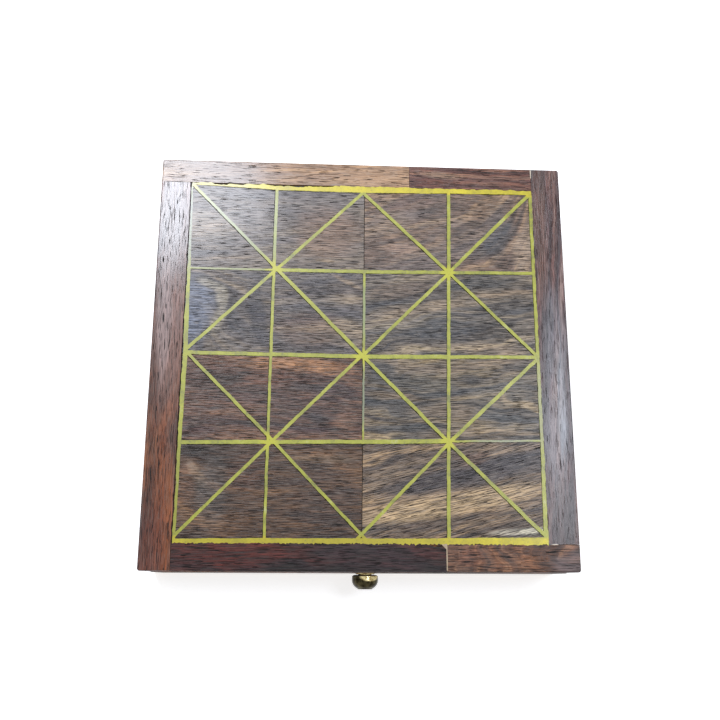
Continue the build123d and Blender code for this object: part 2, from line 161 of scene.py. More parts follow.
def sheesham(
    name, centre, turn, pith, lean, colours, streak=4, wave=3, cool=0.4, veins=0.5, pores=1,
    pore=(5, 0.26), crowding=0, rays=0.25, fibre=0.9, fray=1.2, gloss=0.36, coat=0.15, knot=None, sweep=None,
    patches=(), seed=0,
):
    """Sheesham with the grain along X before it is turned. All sizes are in mm, from the piece's centre.

    The streaks are growth rings round a pith line through the point pith, in the direction lean. streak
    is their usual width, wave how far they wander, fray how far they run into each other, cool how much
    blue-grey shows, and veins how dark the thin growth lines are. pore is the length of a pore and the pitch
    across the pores, pores how dark they are, crowding how much closer they stand, rays how strong the
    painted glints between them are, light flecks that stand in for the polish catching the light, and fibre
    how strong the fine grain is. Round a knot (x, y, radius, strength) the streaks bow out, and towards a
    sweep (x, length, rise) they turn up. patches are single stains, and on some boards painted sheen and
    painted highlights. gloss is the roughness of the wood under a film of polish, coat, which the open pores
    break. The five colours run from the darkest streak to the lightest, with the blue-grey last.

    Scales are per mm: fibres 11 mm long and 0.5 mm wide, streaks that wander over 70 mm and change along
    80 mm, growth lines 1.7 mm apart, and pores that crowd in patches 17 mm wide."""
    fibre_scale = (0.09, 2.1, 2.1)
    wander_scale = (0.014, 0.04, 0.04)
    change_scale = 0.012
    growth_line_scale = 0.6
    crowd_scale = 0.06
    darkest, *browns, blue_grey = colours
    # Light grey of the painted glints: flecks that stand in for the polish catching the light.
    glint_colour = "#a89c90"
    open_pore = "#110d0c"
    material = bpy.data.materials.new(name)
    material.use_nodes = True
    tree = material.node_tree
    shader = tree.nodes["Principled BSDF"]
    place = add(tree, "TexCoord", {}).outputs["Object"]
    place = add(tree, "VectorMath", {0: place, 1: centre}, operation="SUBTRACT").outputs[0]
    local = add(tree, "Mapping", {"Vector": place, "Rotation": turn, "Scale": (1000, 1000, 1000)}).outputs[0]
    elsewhere = (seed * 53.7, seed * 31.3, 0)
    moved = add(tree, "VectorMath", {0: local, 1: elsewhere}, operation="ADD").outputs[0]
    along = add(tree, "SeparateXYZ", {0: local}).outputs["X"]
    fine = add(tree, "VectorMath", {0: moved, 1: fibre_scale}, operation="MULTIPLY").outputs[0]
    fibres = add(tree, "TexNoise", {"Vector": fine, "Scale": 1, "Detail": 3, "Roughness": 0.7}).outputs[0]

    # The place in the wood, pushed about by a slow noise and frayed by the fibres
    slow = add(tree, "VectorMath", {0: moved, 1: wander_scale}, operation="MULTIPLY").outputs[0]
    wander = add(tree, "TexNoise", {"Vector": slow, "Scale": 1, "Detail": 3, "Roughness": 0.55}).outputs[1]
    wander = add(tree, "VectorMath", {0: wander, 1: (-0.5, -0.5, -0.5)}, operation="ADD").outputs[0]
    wander = add(tree, "VectorMath", {0: wander, "Scale": wave * 5}, operation="SCALE").outputs[0]
    bent = add(tree, "VectorMath", {0: local, 1: wander}, operation="ADD").outputs[0]
    frayed = add(tree, "Math", {0: fibres, 1: fray, 2: -fray / 2}, operation="MULTIPLY_ADD").outputs[0]
    frayed = add(tree, "CombineXYZ", {"Y": frayed}).outputs[0]
    bent = add(tree, "VectorMath", {0: bent, 1: frayed}, operation="ADD").outputs[0]

    # Growth rings: the distance from the pith line in streaks, with the knot and the sweep added
    from_pith = add(tree, "VectorMath", {0: bent, 1: pith}, operation="SUBTRACT").outputs[0]
    pith_line = Vector(lean).normalized()
    across = add(tree, "VectorMath", {0: from_pith, 1: pith_line}, operation="CROSS_PRODUCT").outputs[0]
    ring = add(tree, "VectorMath", {0: across}, operation="LENGTH").outputs["Value"]
    ring = add(tree, "Math", {0: ring, 1: 1 / streak}, operation="MULTIPLY").outputs[0]
    if knot:
        x, y, radius, strength = knot
        reach = add(tree, "VectorMath", {0: bent, 1: (x, y, 0)}, operation="SUBTRACT").outputs[0]
        reach = add(tree, "VectorMath", {0: reach, "Scale": 1 / radius}, operation="SCALE").outputs[0]
        reach = add(tree, "VectorMath", {0: reach, 1: reach}, operation="DOT_PRODUCT").outputs["Value"]
        reach = add(tree, "Math", {0: reach, 1: -1}, operation="MULTIPLY").outputs[0]
        swell = add(tree, "Math", {0: reach}, operation="EXPONENT").outputs[0]
        ring = add(tree, "Math", {0: swell, 1: strength, 2: ring}, operation="MULTIPLY_ADD").outputs[0]
    if sweep:
        x, length, rise = sweep
        height = rise * length / streak
        turned = add(tree, "Math", {0: along, 1: 1 / length, 2: -x / length}, operation="MULTIPLY_ADD")
        turned = add(tree, "Math", {0: turned.outputs[0]}, operation="EXPONENT").outputs[0]
        ring = add(tree, "Math", {0: turned, 1: height, 2: ring}, operation="MULTIPLY_ADD").outputs[0]

    # Colour of the streaks, then the blue-grey clouds, the single stains and the dark growth lines
    drift = add(tree, "Math", {0: along, 1: change_scale}, operation="MULTIPLY").outputs[0]
    ringed = add(tree, "CombineXYZ", {"X": ring, "Y": drift, "Z": seed * 7.3}).outputs[0]
    streaks = add(tree, "TexNoise", {"Vector": ringed, "Scale": 1, "Detail": 5, "Roughness": 0.62})
    colour = add(
        tree, "ValToRGB", {"Fac": streaks.outputs["Fac"]},
        stops=list(zip((0.34, 0.47, 0.56, 0.68), [darkest] + browns)),
    ).outputs[0]
    broad = add(tree, "VectorMath", {0: ringed, 1: (0.7, 1.6, 1)}, operation="MULTIPLY").outputs[0]
    broad = add(tree, "TexNoise", {"Vector": broad, "Scale": 1, "Detail": 3, "W": 3}, noise_dimensions="4D")
    grey = add(tree, "MapRange", {
        "Value": broad.outputs["Fac"], "From Min": 0.46, "From Max": 0.58, "To Max": cool,
    }).outputs[0]
    colour = add(tree, "Mix", {0: grey, 6: colour, 7: linear(blue_grey)}, data_type="RGBA").outputs[2]
    for patch in patches:
        colour = stain_or_painted_light(tree, colour, bent, patch)
    close = (streak * growth_line_scale, 3, 1)
    thin = add(tree, "VectorMath", {0: ringed, 1: close}, operation="MULTIPLY").outputs[0]
    thin = add(tree, "TexNoise", {"Vector": thin, "Scale": 1, "Detail": 2, "W": 7}, noise_dimensions="4D")
    vein = add(tree, "MapRange", {
        "Value": thin.outputs["Fac"], "From Min": 0.54, "From Max": 0.68, "To Max": veins,
    }).outputs[0]
    colour = add(tree, "Mix", {0: vein, 6: colour, 7: linear(darkest)}, data_type="RGBA").outputs[2]

    # Fine grain: each fibre a little lighter or darker than its neighbours
    bright = add(tree, "MapRange", {
        "Value": fibres, "From Min": 0.36, "From Max": 0.64, "To Min": 1 - 0.8 * fibre, "To Max": 1 + fibre,
    }).outputs[0]
    colour = add(tree, "VectorMath", {0: colour, "Scale": bright}, operation="SCALE").outputs[0]

    # Pores: the peaks of a long narrow noise, crowded in patches, and in its hollows painted glints, light
    # flecks standing in for the polish catching the light
    length, pitch = pore
    dash = add(tree, "VectorMath", {0: moved, 1: (1 / length, 1 / pitch, 1 / pitch)}, operation="MULTIPLY")
    dash = add(tree, "TexNoise", {"Vector": dash.outputs[0], "Scale": 1, "Detail": 0}).outputs["Fac"]
    crowd = add(tree, "TexNoise", {"Vector": moved, "Scale": crowd_scale, "Detail": 2}).outputs["Fac"]
    crowd = add(tree, "Math", {0: crowd, 1: 0.15, 2: dash}, operation="MULTIPLY_ADD").outputs[0]
    opened = add(
        tree, "MapRange", {"Value": crowd, "From Min": 0.74 - crowding, "From Max": 0.77 - crowding},
    ).outputs[0]
    painted_glint = add(
        tree, "MapRange", {"Value": dash, "From Min": 0.36, "From Max": 0.3, "To Max": rays},
    ).outputs[0]
    colour = add(tree, "Mix", {0: painted_glint, 6: colour, 7: linear(glint_colour)}, data_type="RGBA").outputs[2]
    dark = add(tree, "Math", {0: opened, 1: pores}, operation="MULTIPLY").outputs[0]
    colour = add(tree, "Mix", {0: dark, 6: colour, 7: linear(open_pore)}, data_type="RGBA").outputs[2]
    tree.links.new(colour, shader.inputs["Base Color"])

    # Polish: thin over the fibres, gone in the open pores, which are also sunk
    rough = add(tree, "Math", {0: fibres, 1: 0.16, 2: gloss - 0.08}, operation="MULTIPLY_ADD").outputs[0]
    rough = add(tree, "Math", {0: opened, 1: 0.4, 2: rough}, operation="MULTIPLY_ADD").outputs[0]
    tree.links.new(rough, shader.inputs["Roughness"])
    shader.inputs["IOR"].default_value = 1.34
    film = add(tree, "Math", {0: opened, 1: -coat, 2: coat}, operation="MULTIPLY_ADD").outputs[0]
    tree.links.new(film, shader.inputs["Coat Weight"])
    shader.inputs["Coat Roughness"].default_value = 0.16
    shader.inputs["Coat IOR"].default_value = 1.48
    hollow = add(tree, "Math", {0: opened, 1: -1, 2: 1}, operation="MULTIPLY_ADD").outputs[0]
    relief = add(tree, "Math", {0: fibres, 1: 0.6, 2: hollow}, operation="MULTIPLY_ADD").outputs[0]
    bump = add(tree, "Bump", {"Height": relief, "Strength": 1, "Distance": 0.0003}).outputs[0]
    tree.links.new(bump, shader.inputs["Normal"])
    return material


def board(node, turn, pith, lean, colours, **figure):
    """Finishes a CAD board in sheesham, with the figure centred on the board."""
    low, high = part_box(node)
    finish_node(node, sheesham(
        f"polished_sheesham_{node}", (low + high) / 2, turn, pith, lean, colours, **figure,
    ))


length_on_x = (0, 0, 0)
length_on_y = (0, 0, -math.pi / 2)
wall_brown = ("#2b1c17", "#4a2f23", "#6b4530", "#8a5f3f", "#3c2c28")
for seed, (node, turn, pith, lean) in enumerate((
    ("case_side_left", length_on_y, (0, -40, -30), (1, 0.03, 0.02)),
    ("case_side_right", length_on_y, (0, 50, -20), (1, -0.02, 0.04)),
    ("case_back", length_on_x, (0, 30, -60), (1, 0.02, -0.03)),
), start=1):
    board(node, turn, pith, lean, wall_brown, fibre=0.8, seed=seed)


# Panel pins: drawn steel wire with the heads cut off, driven up through the bottom and filed flush.
# Only their round ends show underneath, dull grey with filing marks across them.
def pin_steel():
    """Filed mild steel, with file strokes 3 mm long and 0.15 mm apart along X. Their scale is per metre."""
    stroke_scale = (300, 6600, 6600)
    material = bpy.data.materials.new("filed_pin_steel")
    material.use_nodes = True
    tree = material.node_tree
    shader = tree.nodes["Principled BSDF"]
    place = add(tree, "TexCoord", {}).outputs["Object"]
    strokes = add(tree, "VectorMath", {0: place, 1: stroke_scale}, operation="MULTIPLY").outputs[0]
    strokes = add(tree, "TexNoise", {"Vector": strokes, "Scale": 1, "Detail": 3}).outputs["Fac"]
    colour = add(tree, "ValToRGB", {"Fac": strokes}, stops=[(0.3, "#6f6e6c"), (0.7, "#a9a8a4")]).outputs[0]
    tree.links.new(colour, shader.inputs["Base Color"])
    rough = add(tree, "MapRange", {"Value": strokes, "To Min": 0.35, "To Max": 0.6}).outputs[0]
    tree.links.new(rough, shader.inputs["Roughness"])
    shader.inputs["Metallic"].default_value = 1
    return material


finish_node("bottom_pins", pin_steel())


# Drawer: a sheesham front lapped over two sides, a back housed between them and a divider. The sides, back
# and divider are sheesham sapwood, which is straw-brown. The front is heartwood that matches the border.
front_brown = ("#261713", "#43281e", "#63402c", "#84583a", "#33272a")
sapwood = ("#7a5a3a", "#9a7850", "#b39068", "#c7a880", "#8f7350")
board(
    "drawer_front", length_on_x, pith=(0, 60, -45), lean=(1, 0.02, 0.03), colours=front_brown, fibre=0.8,
    seed=4,
)
for seed, (node, turn, pith, lean) in enumerate((
    ("drawer_side_left", length_on_y, (0, -60, -30), (1, 0.02, 0.01)),
    ("drawer_side_right", length_on_y, (0, 40, -50), (1, -0.03, 0.01)),
    ("drawer_back", length_on_x, (0, 40, 30), (1, 0.01, 0.02)),
    ("drawer_divider", length_on_x, (0, -40, 45), (1, 0.02, 0.02)),
), start=5):
    board(node, turn, pith, lean, sapwood, fibre=0.5, rays=0, gloss=0.5, pores=0.5, seed=seed)


# Tray linings: short cotton velvet, cut with scissors a little under the size of the tray and glued down.
# The glue pulls it into low waves, its cut edge stands up, and the pile turns light and dark by patches.
def velvet(name):
    """Cotton velvet: pile tufts 0.5 mm apart, brushed into lighter and darker patches 20 mm wide.

    Scales are per mm."""
    tuft_scale = 2
    patch_scale = 0.05
    material = bpy.data.materials.new(name)
    material.use_nodes = True
    tree = material.node_tree
    shader = tree.nodes["Principled BSDF"]
    place = add(tree, "TexCoord", {}).outputs["Object"]
    mm = add(tree, "VectorMath", {0: place, "Scale": 1000}, operation="SCALE").outputs[0]
    tufts = add(tree, "TexVoronoi", {"Vector": mm, "Scale": tuft_scale}).outputs["Distance"]
    patches = add(
        tree, "TexNoise", {"Vector": mm, "Scale": patch_scale, "Detail": 4, "Roughness": 0.6},
    ).outputs[0]
    nap = add(tree, "Math", {0: tufts, 1: -0.25, 2: patches}, operation="MULTIPLY_ADD").outputs[0]
    colour = add(
        tree, "ValToRGB", {"Fac": nap}, stops=[(0.2, "#3d070f"), (0.42, "#6a0f1b"), (0.62, "#8a1a27")],
    ).outputs[0]
    tree.links.new(colour, shader.inputs["Base Color"])
    shader.inputs["Roughness"].default_value = 0.9
    shader.inputs["Sheen Weight"].default_value = 0.8
    shader.inputs["Sheen Roughness"].default_value = 0.35
    shader.inputs["Sheen Tint"].default_value = linear("#d98a90")
    bump = add(tree, "Bump", {"Height": tufts, "Strength": 0.6, "Distance": 0.0003}, invert=True)
    tree.links.new(bump.outputs[0], shader.inputs["Normal"])
    return material


def deselect():
    """Leaves nothing selected and no edit mode open."""
    if bpy.context.object and bpy.context.object.mode == "EDIT":
        bpy.ops.object.mode_set(mode="OBJECT")
    bpy.ops.object.select_all(action="DESELECT")


def settle(piece, name):
    """Names a finished piece and puts its place into its mesh, with its object at the origin."""
    piece.name = name
    piece.data.name = name
    deselect()
    piece.select_set(True)
    bpy.context.view_layer.objects.active = piece
    bpy.ops.object.transform_apply(location=True, rotation=True, scale=True)
    return piece


def apply_modifiers(piece):
    """Applies a piece's modifiers from first to last."""
    deselect()
    piece.select_set(True)
    bpy.context.view_layer.objects.active = piece
    for modifier in list(piece.modifiers):
        bpy.ops.object.modifier_apply(modifier=modifier.name)


def lining(name, node):
    """A velvet sheet on the drawer's floor, waved by its glue, with its cut edges turned up a little."""
    thickness = 0.0008
    edge_band = 0.004
    cell = 0.0025
    sharp = math.radians(50)
    low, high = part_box(node)
    size = high - low
    deselect()
    bpy.ops.mesh.primitive_grid_add(
        x_subdivisions=round(size.x / cell), y_subdivisions=round(size.y / cell), size=1,
        location=((low.x + high.x) / 2, (low.y + high.y) / 2, low.z),
    )
    sheet = bpy.context.object
    sheet.scale = (size.x, size.y, 1)
    settle(sheet, name)
    edge = sheet.vertex_groups.new(name="edge")
    inside = sheet.vertex_groups.new(name="inside")
    for vertex in sheet.data.vertices:
        gap = min(vertex.co.x - low.x, high.x - vertex.co.x, vertex.co.y - low.y, high.y - vertex.co.y)
        weight = max(0, 1 - gap / edge_band)
        edge.add([vertex.index], weight, "REPLACE")
        inside.add([vertex.index], 1 - weight, "REPLACE")
    for group, grain, strength in (("inside", 0.022, 0.0005), ("edge", 0.007, 0.0009)):
        waves = bpy.data.textures.new(f"{name}_{group}", type="CLOUDS")
        waves.noise_scale = grain
        wave = sheet.modifiers.new(group, "DISPLACE")
        wave.texture = waves
        wave.texture_coords = "LOCAL"
        wave.vertex_group = group
        wave.direction = "Z"
        wave.strength = strength
        wave.mid_level = 0.35
    pile = sheet.modifiers.new("pile", "SOLIDIFY")
    pile.thickness = thickness
    pile.offset = 1
    apply_modifiers(sheet)
    sheet.data.materials.append(velvet(f"cotton_velvet_{name}"))
    bpy.ops.object.shade_smooth_by_angle(angle=sharp)
    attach(sheet, "drawer")
    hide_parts(node)


lining("tiger_lining", "tiger_tray_lining")
lining("goat_lining", "goat_tray_lining")


# Knob, washer and screw: turned from brass bar and lacquered. The cutter leaves fine rings round the axis,
# and the brass has browned in patches. The knob is painted near black, a painted dark reflection of the
# room, with one spot near its rim left bright as a painted highlight. A slotted screw holds the knob from
# inside.
def brass(name, axis, tarnish, painted_dark_reflection):
    """Turned brass with tool rings 0.25 mm apart round an axis along Y and tarnish in patches 1.7 mm wide.

    tarnish is how much of it has browned, and the last argument how much of it is painted near black as a
    painted dark reflection, both from 0 to 1. One spot near the rim is left out of it as a painted
    highlight.
    Scales are per mm."""
    ring_scale = 4
    patch_scale = 0.6
    highlight_place = (1.8, 2.6, 6)
    highlight_size = (4.6, 2.4, 9)
    material = bpy.data.materials.new(name)
    material.use_nodes = True
    tree = material.node_tree
    shader = tree.nodes["Principled BSDF"]
    place = add(tree, "TexCoord", {}).outputs["Object"]
    local = add(tree, "VectorMath", {0: place, 1: axis}, operation="SUBTRACT").outputs[0]
    mm = add(tree, "VectorMath", {0: local, "Scale": 1000}, operation="SCALE").outputs[0]
    flat = add(tree, "VectorMath", {0: mm, 1: (1, 0, 1)}, operation="MULTIPLY").outputs[0]
    radius = add(tree, "VectorMath", {0: flat}, operation="LENGTH").outputs["Value"]
    length = add(tree, "SeparateXYZ", {0: mm}).outputs["Y"]
    cut = add(tree, "Math", {0: radius, 1: length}, operation="ADD").outputs[0]
    rings = add(
        tree, "TexNoise", {"W": cut, "Scale": ring_scale, "Detail": 2}, noise_dimensions="1D",
    ).outputs["Fac"]
    patches = add(
        tree, "TexNoise", {"Vector": mm, "Scale": patch_scale, "Detail": 5, "Roughness": 0.65},
    ).outputs[0]
    bright = add(
        tree, "ValToRGB", {"Fac": patches}, stops=[(tarnish, "#7a5c2c"), (tarnish + 0.2, "#e0d3a0")],
    ).outputs[0]
    # Painted dark reflection: near black, where the knob mirrors the dark room.
    dark_reflection_colour = add(tree, "ValToRGB", {"Fac": patches}, stops=[(0.44, "#060705"), (0.72, "#352e1b")]).outputs[0]
    # Painted highlight: a spot near the rim, left out of the painted dark, shows the bright brass.
    highlight_spot = add(
        tree, "Mapping", {"Vector": mm, "Location": highlight_place, "Scale": highlight_size}, vector_type="TEXTURE",
    ).outputs[0]
    highlight_spot = add(tree, "VectorMath", {0: highlight_spot}, operation="LENGTH").outputs["Value"]
    painted_dark_share = add(
        tree, "MapRange", {"Value": highlight_spot, "From Min": 0.85, "From Max": 1.1, "To Max": painted_dark_reflection},
    ).outputs[0]
    colour = add(tree, "Mix", {0: painted_dark_share, 6: bright, 7: dark_reflection_colour}, data_type="RGBA").outputs[2]
    tree.links.new(colour, shader.inputs["Base Color"])
    rough = add(tree, "MapRange", {"Value": patches, "To Min": 0.3, "To Max": 0.12}).outputs[0]
    tree.links.new(rough, shader.inputs["Roughness"])
    shader.inputs["Metallic"].default_value = 1
    bump = add(tree, "Bump", {"Height": rings, "Strength": 0.12, "Distance": 0.0001})
    tree.links.new(bump.outputs[0], shader.inputs["Normal"])
    return material


knob_low, knob_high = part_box("drawer_knob")
knob_axis = (knob_low + knob_high) / 2
for node, tarnish, painted_dark_reflection in (("drawer_knob", 0.36, 0.95), ("knob_rose", 0.45, 0), ("knob_screw", 0.4, 0)):
    finish_node(node, brass(f"turned_brass_{node}", knob_axis, tarnish, painted_dark_reflection))


# Border of the board: six strips of sheesham heartwood, butted end to end and sanded level with the field.
# Each strip comes from another plank, so one is tan, others are red-brown or nearly black.
tan = "#8f7960"
orange = "#8a5a38"
umber = "#1f1b1d"
yellow_bleed = "#94591f"
rails = {
    "top_rail_left": dict(
        turn=length_on_y, pith=(0, 14, -22), lean=(1, 0.03, 0.05), wave=2, seed=11, cool=0.3, veins=0.2,
        crowding=-0.02, rays=0.1, fibre=0.6, fray=1.5, gloss=0.32, coat=0.37,
        colours=("#2a1611", "#46291e", "#613b2a", "#865434", "#50434a"),
        # The grey patches "#7d5d52", "#7e7874" and "#857775" are painted sheen, the window lamp's grey shine
        # on the polish; the others are the wood's own colour.
        patches=[
            (-80, -5.5, 42, 3, 0, "#87481b", 0.65), (-60, 4, 50, 3.5, 0, "#401a06", 0.75),
            (-60, -1, 45, 3, 0, "#652e08", 0.7), (15, 0, 40, 8, 0, "#7d5d52", 0.6),
            (80, 0, 40, 9, 0, "#7e7874", 0.5), (55, -5, 40, 2.5, 0, "#5d463d", 0.6),
            (25, 3, 40, 4, 0, "#857775", 0.5), (-95, 0, 35, 9, 0, "#4f200c", 0.6),
        ],
    ),
    "top_rail_right": dict(
        turn=length_on_y, pith=(0, 20, -26), lean=(1, -0.02, 0.03), streak=1.6, wave=1.5, seed=12, cool=0.3,
        pores=0.5, crowding=-0.03, rays=0.1, fibre=0.6, fray=0.8, gloss=0.32, coat=0.33,
        colours=("#1f1212", "#3e2a29", "#5e403a", "#856b60", "#504a50"),
        # The grey and blue-grey patches "#655a5c", "#868c92", "#83878b" and "#777a80" are painted sheen, the
        # fill lamp's grey shine on the polish from the middle of the rail down; the others are the wood's
        # own colour.
        patches=[
            (-30, 3, 70, 2.5, 1, "#655a5c", 0.3), (-28, -2, 32, 3, 0, "#868c92", 0.5),
            (-48, 1, 26, 6, 0, "#83878b", 0.25), (-85, 0, 24, 9, 0, "#403a38", 0.65),
            (5, 0, 30, 8, 0, "#777a80", 0.35), (20, 5, 60, 1.5, 0, umber, 0.4),
            (65, 4, 45, 4, 0, "#6d4d40", 0.5), (84, -5, 16, 3.5, 0, "#3f2724", 0.7),
        ],
    ),
    "top_rail_back_long": dict(
        turn=length_on_x, pith=(0, -24, -22), lean=(1, 0.03, 0.04), wave=2, seed=13, cool=0.3,
        pore=(6, 0.37), pores=0.85, crowding=-0.01, fibre=0.35, coat=0.3,
        colours=("#574233", "#7f6048", "#9b7857", "#b89269", "#746860"),
        # The grey patch on the left, "#75695f", is partly the wood's greyer brown and partly painted sheen
        # of the window lamp on the polish.
        patches=[(50, 0, 35, 7, 0, "#a88565", 0.55), (-45, 0, 40, 8, 0, "#75695f", 0.5)],
    ),
    "top_rail_back_short": dict(
        turn=length_on_x, pith=(0, 22, -14), lean=(1, 0.04, 0.02), streak=2.5, wave=2, seed=14,
        crowding=-0.04, rays=0.12, fibre=0.7,
        colours=("#301b16", "#522f26", "#6e4a3a", "#8f6a52", "#443434"),
        patches=[(-15, 2, 12, 2, 0, tan, 0.3), (10, -3, 18, 2, 0, umber, 0.3)],
    ),
    "top_rail_front_long": dict(
        turn=length_on_x, pith=(0, 24, -20), lean=(1, -0.05, 0.05), streak=3.5, wave=4, seed=15, cool=0.6,
        crowding=-0.02, rays=0.04, fibre=1.1, gloss=0.5, coat=0,
        colours=("#0e0504", "#1e0b09", "#2e120f", "#3f1f1a", "#180e12"),
        patches=[
            (-35, 0, 35, 6, 0, "#48180f", 0.6), (30, 0, 30, 8, 0, "#2b1d20", 0.5),
            (8, 6.2, 62, 0.9, 0, yellow_bleed, 0.8),
        ],
    ),
    "top_rail_front_short": dict(
        turn=length_on_x, pith=(8, 4, -12), lean=(1, 0.25, 0.5), streak=2.6, wave=4, seed=16,
        crowding=-0.03, rays=0.06, fibre=0.8, fray=1.3, coat=0.12,
        colours=("#2a180e", "#4f301d", "#6c462e", "#946b4a", "#4b3d36"),
        patches=[
            (5, -1, 9, 4, 20, orange, 0.35), (20, 3, 7, 2, -30, umber, 0.4),
            (-22, 0, 8, 5, -10, "#6e4332", 0.4), (27, 0, 11, 9, 0, "#544848", 0.75),
        ],
    ),
}
for node, figure in rails.items():
    board(node, **figure)


# Field of the board: eight thin slats of sheesham on the core panel, in four rows with the joints under the
# game lines. They were cut with the grain left to right, and each has its own figure.
def risen(degrees):
    """The turn of a board whose grain rises to the right."""
    return (0, 0, -math.radians(degrees))


